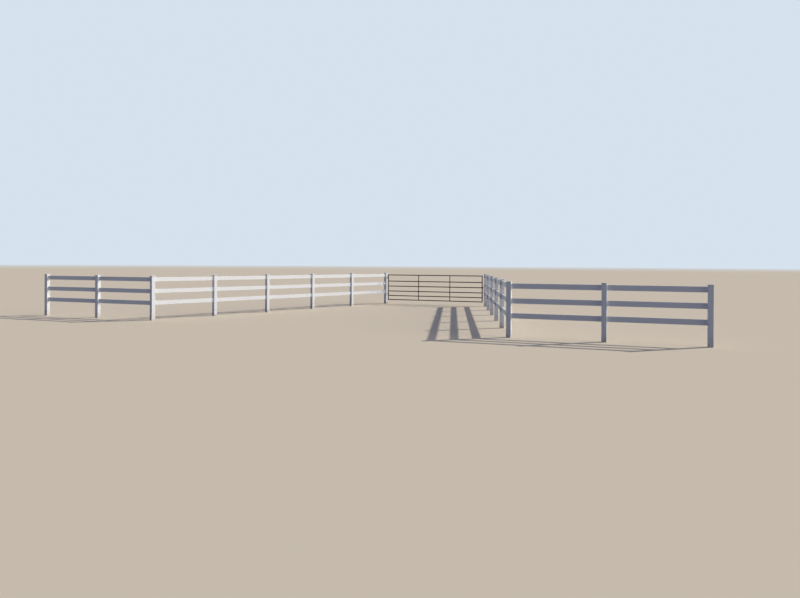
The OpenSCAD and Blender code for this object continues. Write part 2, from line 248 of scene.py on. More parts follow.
def surface(tree, colour, rough, grain, depth, fixed):
    """The shader. rough is a mask and the roughness where it is 0 and where it is 1. grain raises a bump
    depth metres high. fixed is what is the same everywhere, set on the shader's own sockets."""
    mask, smoothest, roughest = rough
    reach = {"To Min": smoothest, "To Max": roughest}
    roughness = add(tree, "ShaderNodeMapRange", reach, {"Value": mask}, interpolation_type="SMOOTHSTEP")
    bump = add(tree, "ShaderNodeBump", {"Distance": depth, "Strength": 1.0}, {"Height": grain})
    links = {"Base Color": colour, "Roughness": roughness.outputs[0], "Normal": bump.outputs[0]}
    shader = add(tree, "ShaderNodeBsdfPrincipled", fixed, links)
    add(tree, "ShaderNodeOutputMaterial", links={"Surface": shader.outputs[0]})


print("a film of half cover on white leaves", [round((1 + c) / 2, 2) for c in srgb("#A98A69")[:3]])

# %% [markdown]
# ## Extruded white vinyl
# The posts and rails are rigid PVC, pushed hot through a steel die and
# cooled. The die leaves faint lines along the length, years of sun chalk the
# white a little, dust settles on what faces up, and rain splashes soil on the
# feet. One material could dress them all, but the lines follow each run of
# fence, so each heading has its own.


# %% Extruded vinyl
def extruded_vinyl(name, turn, die_line):
    """Rigid PVC extrusion: a satin white. Its real die lines, 1 mm apart, are too fine to show, so they are
    drawn coarser, at the size die_line."""
    material = bpy.data.materials.new(name)
    tree = new_tree(material)
    lines = patches(tree, die_line, (0.32, 0.68), turn, detail=2.0)
    chalk = patches(tree, (700, 700, 300), (0.35, 0.70), turn, offset=3.1)
    rain = patches(tree, (20, 20, 450), (0.50, 0.84), turn, offset=7.7, detail=5.0)
    speck = patches(tree, (18, 18, 12), (0.50, 0.72), offset=1.3, detail=5.0)
    splash = patches(tree, (90, 90, 160), (0.34, 0.66), offset=5.2)
    up = zone(tree, TILT, 0.55, 0.95)
    foot = zone(tree, HEIGHT, 0.34, 0.0)
    wet_foot = zone(tree, HEIGHT, 0.09, 0.0)
    colour = films(
        tree,
        "#F7F8F6",
        ("#E8EAE8", 0.30, lines),
        ("#EFEEE8", 0.40, chalk),
        ("#CFCDC1", 0.30, rain),
        ("#D2C4AD", 0.30, up, speck),
        ("#A98A69", 0.62, foot, splash),
        ("#8E7051", 0.55, wet_foot, speck),
    )
    surface(tree, colour, (chalk, 0.34, 0.52), lines, 0.12 * MM, {"IOR": 1.53})
    return material


LINE_LENGTH, LINE_WIDTH = 1600, 11
ALONG_RUN = (LINE_LENGTH, LINE_WIDTH, LINE_WIDTH)
UP_POST = (LINE_WIDTH, LINE_WIDTH, LINE_LENGTH)
RAIL_VINYL = {run: extruded_vinyl(f"extruded_vinyl_{run}", turn, ALONG_RUN) for run, turn in HEADINGS.items()}
POST_VINYL = extruded_vinyl("extruded_vinyl_posts", 0.0, UP_POST)
print("vinyl", sorted(RAIL_VINYL), POST_VINYL.name)

# %% [markdown]
# ## Moulded vinyl
# The caps are injection moulded in one piece. The posts' material would give
# them die lines that a mould doesn't leave, so they have their own: the mould
# was spark eroded to a fine matt grain, and each cap carries patches of dust
# on what faces up, which is its four slopes.


# %% Moulded vinyl
def moulded_vinyl():
    """Injection-moulded PVC: a finer, more even satin than the extrusion. Its spark-eroded grain of a tenth
    of a millimetre is too fine to show, so it is drawn coarser, at 3 mm."""
    material = bpy.data.materials.new("moulded_vinyl_caps")
    tree = new_tree(material)
    grain = patches(tree, 3, (0.3, 0.7), detail=1.0)
    dust = patches(tree, 50, (0.36, 0.68), offset=2.4)
    tone = patches(tree, 250, (0.3, 0.7), offset=8.8)
    up = zone(tree, TILT, 0.4, 0.9)
    colour = films(tree, "#F6F7F5", ("#E6E5DE", 0.55, tone), ("#CDBEA5", 0.40, up, dust))
    surface(tree, colour, (dust, 0.36, 0.55), grain, 0.08 * MM, {"IOR": 1.53})
    return material


CAP_VINYL = moulded_vinyl()
print("vinyl", CAP_VINYL.name)

# %% [markdown]
# ## Gate enamel
# The gate is welded up from steel tube and dipped or sprayed in a dark brown
# enamel. It has faint orange peel, a paler chalk where the sun works on it,
# dust on its upper sides, and rust that starts at chips and low down. Rust
# could be cut in as pits, but at 2 m it is a stain, so it is two more films.


# %% Enamel
def brown_enamel(name, rusted):
    """Baked enamel on steel: dark brown, satin. rusted is the share of the rust patches that shows
    through, and its patches thin out from 0.15 m to 0.75 m up."""
    material = bpy.data.materials.new(name)
    tree = new_tree(material)
    peel = patches(tree, 4, (0.25, 0.75), detail=1.0)
    chalk = patches(tree, 350, (0.35, 0.70), offset=4.4)
    chips = patches(tree, 16, (0.62, 0.68), offset=6.1, detail=6.0)
    bleed = patches(tree, (50, 50, 120), (0.50, 0.70), offset=9.3, detail=5.0)
    dust = patches(tree, 60, (0.38, 0.66), offset=0.7)
    up = zone(tree, TILT, 0.35, 0.95)
    low = zone(tree, HEIGHT, 0.75, 0.15, least=0.35)
    colour = films(
        tree,
        "#3A281B",
        ("#4E3A2B", 0.60, chalk),
        ("#553320", 0.70 * rusted, bleed, low),
        ("#74462A", 0.80 * rusted, chips, low),
        ("#A08A6E", 0.30, up, dust),
    )
    surface(tree, colour, (bleed, 0.38, 0.72), peel, 0.10 * MM, {"IOR": 1.5})
    return material


ENAMEL = brown_enamel("brown_enamel", 0.75)
WELD_ENAMEL = brown_enamel("brown_enamel_on_welds", 1.0)
print("enamel", ENAMEL.name, WELD_ENAMEL.name)

# %% [markdown]
# ## Zinc on steel
# Hooks, nuts, washers and chain are steel with a zinc coat. Zinc cools into
# crystals of a few millimetres, which differ a little in tone, and weathers
# to a dull grey with white bloom in the hollows. An even grey metal would
# look freshly milled, so the crystals, the bloom and a little rust are films.


# %% Zinc
def zinc_plated_steel():
    """Zinc-plated steel: a dull grey metal with crystals of 4 mm and patches of white bloom."""
    material = bpy.data.materials.new("zinc_plated_steel")
    tree = new_tree(material)
    crystals = patches(tree, 4, (0.35, 0.65), detail=0.0)
    bloom = patches(tree, 14, (0.55, 0.75), offset=2.2)
    stain = patches(tree, (30, 30, 50), (0.62, 0.78), offset=5.9, detail=5.0)
    colour = films(
        tree,
        "#B6BABD",
        ("#93989B", 0.55, crystals),
        ("#D9DBD8", 0.60, bloom),
        ("#8C6242", 0.60, stain),
    )
    surface(tree, colour, (bloom, 0.34, 0.62), crystals, 0.03 * MM, {"Metallic": 1.0})
    return material


ZINC = zinc_plated_steel()
print("zinc", ZINC.name)

# %% [markdown]
# ## Black plastic and concrete
# The stiles are closed by black polyethylene plugs, which grey at the surface
# outdoors. The two gate posts are filled with concrete, whose sand and stones
# show where a slot leaves a gap. The stones could be modelled, but both are
# small in the picture, so a base colour and one or two films are enough.


# %% Plastic and concrete
def black_polyethylene():
    """Moulded polyethylene: near black, greyed by the sun in patches of 10 mm."""
    material = bpy.data.materials.new("black_polyethylene")
    tree = new_tree(material)
    bloom = patches(tree, 10, (0.35, 0.70))
    colour = films(tree, "#1A1A1B", ("#3B3A38", 0.7, bloom))
    surface(tree, colour, (bloom, 0.42, 0.66), bloom, 0.05 * MM, {"IOR": 1.51})
    return material


def poured_concrete():
    """Poured concrete: grey cement with sand of about 2 mm and stones of about 12 mm."""
    material = bpy.data.materials.new("poured_concrete")
    tree = new_tree(material)
    sand = patches(tree, 2, (0.35, 0.65), detail=2.0)
    stones = patches(tree, 12, (0.55, 0.62), offset=3.3)
    colour = films(tree, "#9A958C", ("#7D786F", 0.6, sand), ("#B5AEA2", 0.6, stones))
    surface(tree, colour, (sand, 0.82, 0.95), sand, 0.4 * MM, {"IOR": 1.5})
    return material


PLASTIC = black_polyethylene()
CONCRETE = poured_concrete()
print("plugs", PLASTIC.name, "core", CONCRETE.name)

# %% [markdown]
# ## Dress the nodes
# Each node of the frame keeps its shape and gets its real finish. Forty-six
# names could be listed with their materials, but the record's slots already
# tell vinyl, enamel, zinc, plastic and concrete apart, so only the rails need
# a look at their names: they take the vinyl of their own run.

# %% Dress the nodes
FINISHES = {
    "white_vinyl": POST_VINYL,
    "gate_paint": ENAMEL,
    "zinc_plated_steel": ZINC,
    "black_plastic": PLASTIC,
    "concrete": CONCRETE,
}


def finish_of(name, slot):
    """The material for a node: by the run that its name gives for a rail, and else by its slot."""
    if "_rails" not in name:
        return FINISHES[slot]
    run = "road" if "road" in name else name.split("_rails")[0]
    return RAIL_VINYL[run]


for name, node in nodes.items():
    slot = node.data.materials[0].name.split(".")[0]
    node.data.materials[0] = finish_of(name, slot)
print("dressed", len(nodes), "nodes in", len(RAIL_VINYL) + len(FINISHES), "finishes")

# %% [markdown]
# ## Surfaces from rings
# New pieces could be put together from Blender's cylinders and cubes, but
# those have sharp edges and hidden faces inside each other. Here every piece
# is rings of points, worked out as whole arrays and skinned. A ring runs
# anticlockwise about the way that the rings advance, so that all faces point
# outwards, and the volume inside tells whether they do: it is negative for a
# shell that is inside out.


# %% Skins
def skin(rings, ends="fans"):
    """A surface over rings, shaped (rings, around, 3): each point joins the next on its ring and on the next
    ring. ends is "fans", where triangles close each end from its middle, or "loop", where the last ring
    joins the first."""
    count, around = rings.shape[:2]
    points = rings.reshape(-1, 3)
    here = np.arange(count * around).reshape(count, around)
    if ends == "loop":
        here = np.vstack([here, here[:1]])
    beside = np.roll(here, -1, axis=1)
    quads = np.stack([here[:-1], beside[:-1], beside[1:], here[1:]], -1).reshape(-1, 4)
    tris = np.empty((0, 3), int)
    if ends == "fans":
        first = np.full(around, len(points))
        start = np.stack([beside[0], here[0], first], -1)
        end = np.stack([here[-1], beside[-1], first + 1], -1)
        points = np.vstack([points, rings[0].mean(0), rings[-1].mean(0)])
        tris = np.vstack([start, end])
    return points, quads, tris


def enclosed(shell):
    """The volume inside a shell: the sum of a . (b x c) / 6 over its triangles a, b, c."""
    points, quads, tris = shell
    a, b, c = points[np.vstack([quads[:, :3], quads[:, [0, 2, 3]], tris]).T]
    return (a * np.cross(b, c)).sum() / 6


square = np.array([(0, 0, 0), (10, 0, 0), (10, 10, 0), (0, 10, 0)]) * MM
cube = skin(np.stack([square, square + (0, 0, 10 * MM)]))
print("a 10 mm cube encloses", round(enclosed(cube) / MM**3), "mm3")

# %% [markdown]
# ## From shells to a piece
# Separate shells could be joined with Blender's Join, one object at a time.
# Filling one mesh from arrays is quicker and keeps each piece in one object
# at the origin, with its place in its mesh, as the frame's nodes have it.


# %% Make a piece
def make_piece(name, shells, material, body, sharp=40.0):
    """Joins shells into one mesh, smooth but for edges that turn by more than sharp degrees, and puts it on
    its body."""
    offsets = np.cumsum([0] + [len(shell[0]) for shell in shells])
    points = np.vstack([shell[0] for shell in shells])
    quads = np.vstack([shell[1] + start for shell, start in zip(shells, offsets)])
    tris = np.vstack([shell[2] + start for shell, start in zip(shells, offsets)])
    corners = np.concatenate([quads.ravel(), tris.ravel()])
    counts = np.concatenate([np.full(len(quads), 4), np.full(len(tris), 3)])
    mesh = bpy.data.meshes.new(name)
    mesh.vertices.add(len(points))
    mesh.vertices.foreach_set("co", points.astype(np.float32).ravel())
    mesh.loops.add(len(corners))
    mesh.loops.foreach_set("vertex_index", corners.astype(np.int32))
    mesh.polygons.add(len(counts))
    mesh.polygons.foreach_set("loop_start", (np.cumsum(counts) - counts).astype(np.int32))
    mesh.update(calc_edges=True)
    mesh.validate()
    mesh.shade_smooth()
    mesh.set_sharp_from_angle(angle=math.radians(sharp))
    mesh.materials.append(material)
    piece = bpy.data.objects.new(name, mesh)
    bpy.context.scene.collection.objects.link(piece)
    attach(piece, body)
    cm3 = sum(enclosed(shell) for shell in shells) / (10 * MM) ** 3
    print(name, 2 * len(quads) + len(tris), "triangles around", round(cm3, 1), "cm3")
    return piece


# %% [markdown]
# ## Turned shapes
# Nuts, washers and plugs are round about an axis. Blender's Spin would turn a
# profile too, but it can leave seams that have to be merged. The same turning
# is one array: a circle for each point of the profile.

# %% Turned shapes
UP = np.array([0.0, 0.0, 1.0])
SIDEWAYS = np.array([1.0, 0.0, 0.0])


def unit(vectors):
    """Vectors divided by their length."""
    return vectors / np.linalg.norm(vectors, axis=-1, keepdims=True)


def full_circle(around):
    """around angles, evenly from 0 to just under a full turn."""
    return np.linspace(0, 2 * np.pi, around, endpoint=False)


def turned(profile, at, axis, around=48, ends="fans"):
    """A lathe's shape: each profile point, a radius and a height, is carried round the axis, to
    at + radius * (cos a * side + sin a * (axis x side)) + height * axis. A radius or a height may be an
    array over the angle, for a shape that isn't round."""
    angle = full_circle(around)
    side = unit(np.cross(axis, UP if abs(axis[2]) < 0.9 else SIDEWAYS))
    round_axis = np.cos(angle)[:, None] * side + np.sin(angle)[:, None] * np.cross(axis, side)
    radius = np.array([np.broadcast_to(r, around) for r, _ in profile])
    height = np.array([np.broadcast_to(h, around) for _, h in profile])
    return skin(np.asarray(at) + radius[..., None] * round_axis + height[..., None] * axis, ends)


rod = turned([(5 * MM, 0.0), (5 * MM, 40 * MM)], (0.0, 0.0, 0.0), UP)
print("a 10 x 40 mm rod encloses", round(enclosed(rod) / MM**3), "of", round(np.pi * 5**2 * 40), "mm3")

# %% [markdown]
# ## Swept shapes
# Hooks, chain links and weld beads are round bars along a line. A curve with
# a bevel would sweep a bar too, but only of one outline. With arrays the
# radius may change along the line and round it, and that is what a thread, a
# weld and a bead's ripples are.


# %% Swept shapes
def swept(path, side, radius, around=16, ends="fans"):
    """A round bar along a path: at each point, radius times (cos a * side + sin a * (tangent x side)).
    radius is one number, one a point, or one a point and angle. side is made square to the path."""
    if ends == "loop":
        tangent = unit(np.roll(path, -1, axis=0) - np.roll(path, 1, axis=0))
    else:
        tangent = unit(np.gradient(path, axis=0))
    side = unit(side - (side * tangent).sum(-1, keepdims=True) * tangent)
    over = np.cross(tangent, side)
    angle = full_circle(around)
    circle = np.cos(angle)[:, None] * side[:, None] + np.sin(angle)[:, None] * over[:, None]
    radius = np.asarray(radius, float)
    radius = radius.reshape(radius.shape + (1,) * (2 - radius.ndim)) * np.ones((len(path), around))
    return skin(path[:, None] + radius[..., None] * circle, ends)


bar = swept(np.linspace(0, 40 * MM, 9)[:, None] * UP, SIDEWAYS, 5 * MM)
print("the same rod, swept with 16 sides, encloses", round(enclosed(bar) / MM**3), "mm3")

# %% [markdown]
# ## Post caps
# Each post is closed by a moulded cap: a sleeve that fits over the tube, a
# square roof with a rounded edge that stands out past it, and a low pyramid.
# A box with a cone on it would have knife edges, which no mould gives, so the
# cap is a stack of rounded squares, from the hollow inside to the blunt top.

# %% Cap sizes
POST_W, _, POST_H = span("left_end_post")
CAP_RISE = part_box("left_post_caps")[1].z - POST_H
CAP_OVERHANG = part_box("left_end_post")[0].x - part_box("left_post_caps")[0].x
CAP_HALF = POST_W / 2 + CAP_OVERHANG
CAP_EDGE = 6 * MM
CAP_SLEEVE = 18 * MM
CAP_WALL = 2.6 * MM
CAP_FIT = 0.4 * MM
CAP_HOLLOW = POST_W / 2 - 7.6 * MM
print("post", round(POST_W, 4), "wide, cap", round(CAP_HALF * 2, 4), "wide and", round(CAP_RISE, 4), "high")


# %% Rounded squares
def rounded_squares(half, corner, arc=7):
    """Outlines of squares, anticlockwise: quarter circles of radius corner about (+-(half - corner)) on each
    axis, arc points to a corner. half and corner are arrays, one entry an outline."""
    quarter = np.arange(4)[:, None]
    angle = (quarter * 90 + np.linspace(0, 90, arc)) * np.pi / 180
    diagonal = (quarter + 0.5) * np.pi / 2
    sign = np.sign(np.stack([np.cos(diagonal), np.sin(diagonal)]))
    round_part = np.stack([np.cos(angle), np.sin(angle)]) * corner[:, None, None, None]
    outline = (half - corner)[:, None, None, None] * sign + round_part
    return outline.reshape(len(half), 2, -1).transpose(0, 2, 1)


outlines = rounded_squares(np.array([CAP_HALF]), np.array([4 * MM]))
print("an outline has", outlines.shape[1], "points")


# %% Roof height
def roof_height(half):
    """The height above the post where the roof's half width is half: an even fall from the point to the
    edge, edge + (rise - edge) * (1 - half / roof half)."""
    return CAP_EDGE + (CAP_RISE - CAP_EDGE) * (1 - half / CAP_HALF)


print("halfway in, the roof is", round(roof_height(CAP_HALF / 2) / MM, 1), "mm above the post")


# %% Cap profile
def cap_profile():
    """Half widths, corner radii and heights above the post of the cap's outlines, in order: under the roof,
    down inside the sleeve, up outside it, round the roof's edge and up to its blunt point."""
    inner = POST_W / 2 + CAP_FIT
    outer = inner + CAP_WALL
    tip = 2.2 * MM
    under_roof = [
        (tip, 0.8 * MM, roof_height(tip) - CAP_WALL),
        (CAP_HOLLOW, 2 * MM, roof_height(CAP_HOLLOW) - CAP_WALL),
        (CAP_HOLLOW, 2 * MM, 0.0),
    ]
    sleeve = [
        (inner, 5 * MM, 0.0),
        (inner, 5 * MM, 0.6 * MM - CAP_SLEEVE),
        (inner + 0.5 * MM, 5 * MM, -CAP_SLEEVE),
        (outer - 0.6 * MM, 6 * MM, -CAP_SLEEVE),
        (outer, 6 * MM, 0.7 * MM - CAP_SLEEVE),
        (outer, 6 * MM, -1.8 * MM),
        (outer + 0.6 * MM, 6 * MM, -0.5 * MM),
        (outer + 2.0 * MM, 6 * MM, 0.0),
    ]
    edge = [
        (CAP_HALF - 1.4 * MM, 3.2 * MM, 0.0),
        (CAP_HALF - 0.4 * MM, 4.0 * MM, 0.4 * MM),
        (CAP_HALF, 4.2 * MM, 1.5 * MM),
        (CAP_HALF, 4.2 * MM, CAP_EDGE - 1.6 * MM),
        (CAP_HALF - 0.5 * MM, 4.0 * MM, CAP_EDGE - 0.5 * MM),
        (CAP_HALF - 2.0 * MM, 3.4 * MM, roof_height(CAP_HALF - 2.0 * MM) - 0.1 * MM),
    ]
    slopes = [(CAP_HALF - 4 * MM, 3.0 * MM), (CAP_HALF / 2, 2.4 * MM), (5 * MM, 2.0 * MM)]
    roof = [(half, corner, roof_height(half)) for half, corner in slopes]
    point = [(tip, 1.2 * MM, roof_height(tip) - 0.3 * MM), (1.0 * MM, 0.8 * MM, roof_height(tip))]
    return np.array(under_roof + sleeve + edge + roof + point).T


print("cap profile of", cap_profile().shape[1], "outlines")

# %% [markdown]
# ## A cap on each post
# A cap is turned with its post. The turns could be listed, but a post that is
# turned with its wing has a wider box than one that stands square to the
# frame's axes, so the box tells the two apart. All the caps of a side are one
# piece, as they are one node.

# %% Caps on the posts
WIDEST_SQUARE = 1.1 * POST_W


def cap(post, turn):
    """The cap of one post: the stack of outlines, turned with the post and set on its top."""
    half, corner, height = cap_profile()
    flat = rounded_squares(half, corner)
    spin = np.array([[math.cos(turn), math.sin(turn)], [-math.sin(turn), math.cos(turn)]])
    placed = flat @ spin + middle(post)[:2]
    level = np.broadcast_to(POST_H + height[:, None, None], (*flat.shape[:2], 1))
    return skin(np.concatenate([placed, level], axis=-1))


def side_posts(side, gate_post):
    """Each post's name and turn on one side: a box wider than WIDEST_SQUARE holds a post that is turned."""
    posts = [gate_post] + [f"{side}_wing_post_{k}" for k in range(1, 5)]
    posts += [f"{side}_{place}_post" for place in ("corner", "road", "end")]
    return [(post, HEADINGS[f"{side}_wing"] if span(post)[0] > WIDEST_SQUARE else 0.0) for post in posts]


for side, gate_post in (("left", "hinge_post"), ("right", "latch_post")):
    shells = [cap(post, turn) for post, turn in side_posts(side, gate_post)]
    caps = make_piece(f"{side}_moulded_caps", shells, CAP_VINYL, "fence", sharp=50.0)
    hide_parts(f"{side}_post_caps")

# %% [markdown]
# ## Hinge hooks
# A hinge hook is a round bar, bent square: the shank is threaded and goes
# through the post, and the pin stands up or hangs down to carry the gate's
# barrel. The thread could be a separate screw curve cut into the bar. It is
# rolled, though, so its ridges are rounded, and that is a radius that depends
# on both length and angle: the bar stays one closed surface.

# %% Hook sizes
HOOKS = {"lower": 1.0, "upper": -1.0}
HOOK_R = 8.0 * MM
BEND_R = 18.0 * MM
THREAD_PITCH = 2.3 * MM
THREAD_DEPTH = 0.75 * MM
WASHER_T = 3.0 * MM
NUT_H = 10.0 * MM
SEAT = 0.2 * MM
NUT_FACE = POST_W / 2 + WASHER_T + SEAT + NUT_H
THREAD_END = NUT_FACE + 9 * MM
TAIL = NUT_FACE + 14 * MM
print("from the middle, thread to", round(THREAD_END / MM, 1), "and tail to", round(TAIL / MM, 1), "mm")


# %% Hinge pin
def foot(node):
    """The middle of a node's box, taken down to height 0."""
    return middle(node) * (1.0, 1.0, 0.0)


# The barrel's box also holds its web to the stile, on the high side of X, so the pin is found from the low
# side, one barrel radius in.
low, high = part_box("lower_hinge_barrel")
barrel_r = (high.y - low.y) / 2
PIN = np.array([low.x + barrel_r, low.y + barrel_r, 0.0])
REACH = np.linalg.norm(PIN - foot("hinge_post"))
OUT = (PIN - foot("hinge_post")) / REACH
print("pin stands", round(REACH / MM, 1), "mm out along", OUT.round(4))


# %% Hook line
def shank_centre(place):
    """Where a hook's shank crosses the middle of the post. The hook's box ends one bar radius past the
    shank, on the side away from the pin."""
    low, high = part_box(f"{place}_hinge_hook")
    height = low.z + HOOK_R if HOOKS[place] > 0 else high.z - HOOK_R
    return foot("hinge_post") + height * UP


def hook_line(place):
    """The bar's centre line as how far out and how far along the pin each point is: straight out from the
    tail, a quarter circle of radius BEND_R, then straight along the pin. The last item is the pin's end."""
    pin_end = span(f"{place}_hinge_hook")[2] - HOOK_R
    thread = np.arange(-TAIL, THREAD_END, THREAD_PITCH / 7)
    shank = np.linspace(THREAD_END, REACH - BEND_R, 8)
    bend = np.linspace(0, np.pi / 2, 16)[1:]
    pin = np.linspace(BEND_R, pin_end - 2 * MM, 12)[1:]
    pin = np.concatenate([pin, pin_end - np.array([1.2, 0.5, 0.0]) * MM])
    out = np.concatenate([thread, shank, REACH - BEND_R + BEND_R * np.sin(bend), np.full(len(pin), REACH)])
    rise = np.concatenate([np.zeros(len(thread) + len(shank)), BEND_R * (1 - np.cos(bend)), pin])
    return out, rise, pin_end


print("shanks at", [round(shank_centre(place)[2], 4) for place in HOOKS], "m")


# %% Hook
def hook(place, around=24):
    """The bar with its thread: radius - depth * (0.5 - 0.5 cos(2 pi (out / pitch - angle / full turn))). The
    thread fades out over 3 mm, and the last 2 mm of each end are drawn in to three quarters."""
    out, rise, pin_end = hook_line(place)
    path = shank_centre(place) + out[:, None] * OUT + (rise * HOOKS[place])[:, None] * UP
    turn = out[:, None] / THREAD_PITCH - full_circle(around) / (2 * np.pi)
    groove = THREAD_DEPTH * (0.5 - 0.5 * np.cos(2 * np.pi * turn))
    fade = np.clip((THREAD_END - out) / (3 * MM), 0, 1) * (rise == 0)
    to_end = np.where(rise > 0, pin_end - rise, out + TAIL)
    chamfer = 1 - 0.25 * np.clip(1 - to_end / (2 * MM), 0, 1)
    side = np.broadcast_to(np.cross(OUT, UP), path.shape)
    return swept(path, side, chamfer[:, None] * (HOOK_R - groove * fade[:, None]), around)


def shoulder(place):
    """The ring on the pin that carries the barrel: a flat ring with its edges rounded by 0.5 mm."""
    outer, edge, inner = 13.0 * MM, 0.5 * MM, HOOK_R - SEAT
    rows = [
        (inner, 0.0),
        (outer - edge, 0.0),
        (outer, edge),
        (outer, WASHER_T - edge),
        (outer - edge, WASHER_T),
        (inner, WASHER_T),
    ]
    way = HOOKS[place] * UP
    return turned(rows, PIN + shank_centre(place)[2] * UP + BEND_R * way, way, ends="loop")


for place in HOOKS:
    shells = [hook(place), shoulder(place)]
    bent_bar = make_piece(f"{place}_threaded_hook", shells, ZINC, "fence")
    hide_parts(f"{place}_hinge_hook")

# %% [markdown]
# ## Nuts and washers
# Each hook is clamped to the post by a washer and a hex nut on either face. A
# nut's corners are turned down to 30 degrees before it is tapped, which
# leaves a curved line on each flat. It could be cut with a cone, but the line
# comes by itself when the chamfer's depth depends on how far the hexagon lies
# from the axis.

# %% Nut
NUT_FLATS = 24.0 * MM


def nut(at, axis, around=72):
    """A hex nut: its outline is half the flats over cos(angle from the flat's middle), and its chamfer falls
    by tan 30 degrees times how far the outline lies past the circle between the flats."""
    to_flat = np.mod(full_circle(around) + np.pi / 6, np.pi / 3) - np.pi / 6
    outline = NUT_FLATS / 2 / np.cos(to_flat)
    drop = (outline - NUT_FLATS / 2) * math.tan(math.radians(30)) + 0.15 * MM
    crown = NUT_FLATS / 2 - 0.4 * MM
    lead_in = 0.9 * MM
    outside = [(crown, 0.0), (outline, drop), (outline, NUT_H - drop), (crown, NUT_H)]
    bore = [(HOOK_R + lead_in, NUT_H), (HOOK_R, NUT_H - lead_in), (HOOK_R, lead_in)]
    return turned([(HOOK_R + lead_in, 0.0)] + outside + bore, at, axis, around, ends="loop")


print("a nut is", round(NUT_FLATS / MM), "mm over its flats and", round(NUT_H / MM), "mm high")

# %% Washers and nuts in place
WASHER_R = 20.0 * MM


def washer(at, axis):
    """A flat washer, stamped: its outer edge is rounded by 0.7 mm on the upper side, where the punch went
    in, and by 0.2 mm below."""
    inner = HOOK_R + 0.5 * MM
    rows = [
        (inner, 0.0),
        (WASHER_R - 0.2 * MM, 0.0),
        (WASHER_R, 0.2 * MM),
        (WASHER_R, WASHER_T - 0.7 * MM),
        (WASHER_R - 0.2 * MM, WASHER_T - 0.2 * MM),
        (WASHER_R - 0.7 * MM, WASHER_T),
        (inner, WASHER_T),
    ]
    return turned(rows, at, axis, ends="loop")


clamps = []
for place in HOOKS:
    for way in (OUT, -OUT):
        face = shank_centre(place) + POST_W / 2 * way
        clamps += [washer(face, way), nut(face + (WASHER_T + SEAT) * way, way)]
fasteners = make_piece("hook_nuts_with_washers", clamps, ZINC, "fence", sharp=28.0)
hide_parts("hook_nuts_and_washers")

# %% [markdown]
# ## Latch chain
# The chain is bent from 6 mm wire, and each link is closed by a butt weld in
# the middle of one side, which swells a little. A torus stretched in one
# direction would thin the wire, so a link is a bar swept round a stadium, two
# half circles joined by straights. Every second link is turned by a quarter.

# %% Link
WIRE_R = 3.0 * MM
LINK_BEND = 8.0 * MM
LINK_SIDE = 20.0 * MM
WELD_SWELL = 0.14
WELD_HALF = 2.4 * MM


def stadium():
    """The link's centre line in X and Z, anticlockwise: up the right side, over, down the left side and
    back. The second half is the first, turned by half a turn."""
    straight = np.linspace(-0.5, 0.5, 13)[:-1] * LINK_SIDE
    half_turn = np.linspace(0, np.pi, 15)[:-1]
    x = np.concatenate([np.full(len(straight), LINK_BEND), LINK_BEND * np.cos(half_turn)])
    z = np.concatenate([straight, LINK_SIDE / 2 + LINK_BEND * np.sin(half_turn)])
    return np.concatenate([x, -x]), np.concatenate([z, -z])


def link(at, turn):
    """One link: wire swept round the stadium, its radius times 1 + swell * exp(-(height / weld half) ** 2)
    on the left side."""
    x, z = stadium()
    radius = WIRE_R * (1 + WELD_SWELL * np.exp(-((z / WELD_HALF) ** 2)) * (x < 0))
    level = np.array([math.cos(turn), math.sin(turn), 0.0])
    path = at + x[:, None] * level + z[:, None] * UP
    side = np.broadcast_to(np.cross(level, UP), path.shape)
    return swept(path, side, radius, around=14, ends="loop")


print("a link is", round((LINK_SIDE + 2 * LINK_BEND + 2 * WIRE_R) / MM, 1), "mm long outside")

# %% Chain
LINKS = 18
chain_low, chain_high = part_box("latch_chain")
link_half = LINK_SIDE / 2 + LINK_BEND + WIRE_R
heights = np.linspace(chain_high.z - link_half, chain_low.z + link_half, LINKS)
hanging = foot("latch_chain")
links = [link(hanging + z * UP, 0.0 if k % 2 else np.pi / 2) for k, z in enumerate(heights)]
chain = make_piece("latch_chain_links", links, ZINC, "gate")
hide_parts("latch_chain")

# %% [markdown]
# ## Stile plugs
# The stiles are open tubes, so a black plug is pressed into each end to keep
# the rain out. It has a rim as wide as the tube, a slightly domed top and a
# barrel with a lead-in. A flat disc would do from far off, but the dome is
# what catches the light, and a turned profile gives it for nothing.

# %% Plugs
TUBE_R = span("hinge_stile")[0] / 2
BORE_R = TUBE_R - 1.6 * MM
DOME = 0.7 * MM
RIM = 1.7 * MM


def plug(x, y, end, way):
    """A turned plug: barrel, rim, and a dome whose height falls with the square of the radius:
    rim + dome * (1 - (radius / tube radius) ** 2)."""
    barrel = [(BORE_R - 1.2 * MM, -14 * MM), (BORE_R, -12.5 * MM), (BORE_R, 0.0)]
    rim = [
        (TUBE_R - 0.3 * MM, 0.0),
        (TUBE_R, 0.3 * MM),
        (TUBE_R, RIM - 0.5 * MM),
        (TUBE_R - 0.15 * MM, RIM - 0.1 * MM),
    ]
    radius = TUBE_R - np.array([0.5, 2.0, 5.0, 10.0, 16.0, 21.0]) * MM
    dome = list(zip(radius, RIM + DOME * (1 - (radius / TUBE_R) ** 2)))
    return turned(barrel + rim + dome, (x, y, end), way * UP)


plugs = []
for stile in ("hinge_stile", "latch_stile"):
    low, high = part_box(stile)
    x, y, _ = middle(stile)
    plugs += [plug(x, y, low.z, -1.0), plug(x, y, high.z, 1.0)]
plug_piece = make_piece("domed_stile_plugs", plugs, PLASTIC, "gate", sharp=30.0)
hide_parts("stile_plugs")

# %% [markdown]
# ## Weld beads
# The gate is joined by hand-laid beads: a full ring where each bar meets a
# stile, short tacks where an upright crosses a bar, and straight beads along
# the barrels' webs and the chain plate. A bump map could only draw them on
# the tubes. A bead has its own outline, so it is a thin bar laid along the
# line where two surfaces meet, and its radius ripples as the weld pool froze.

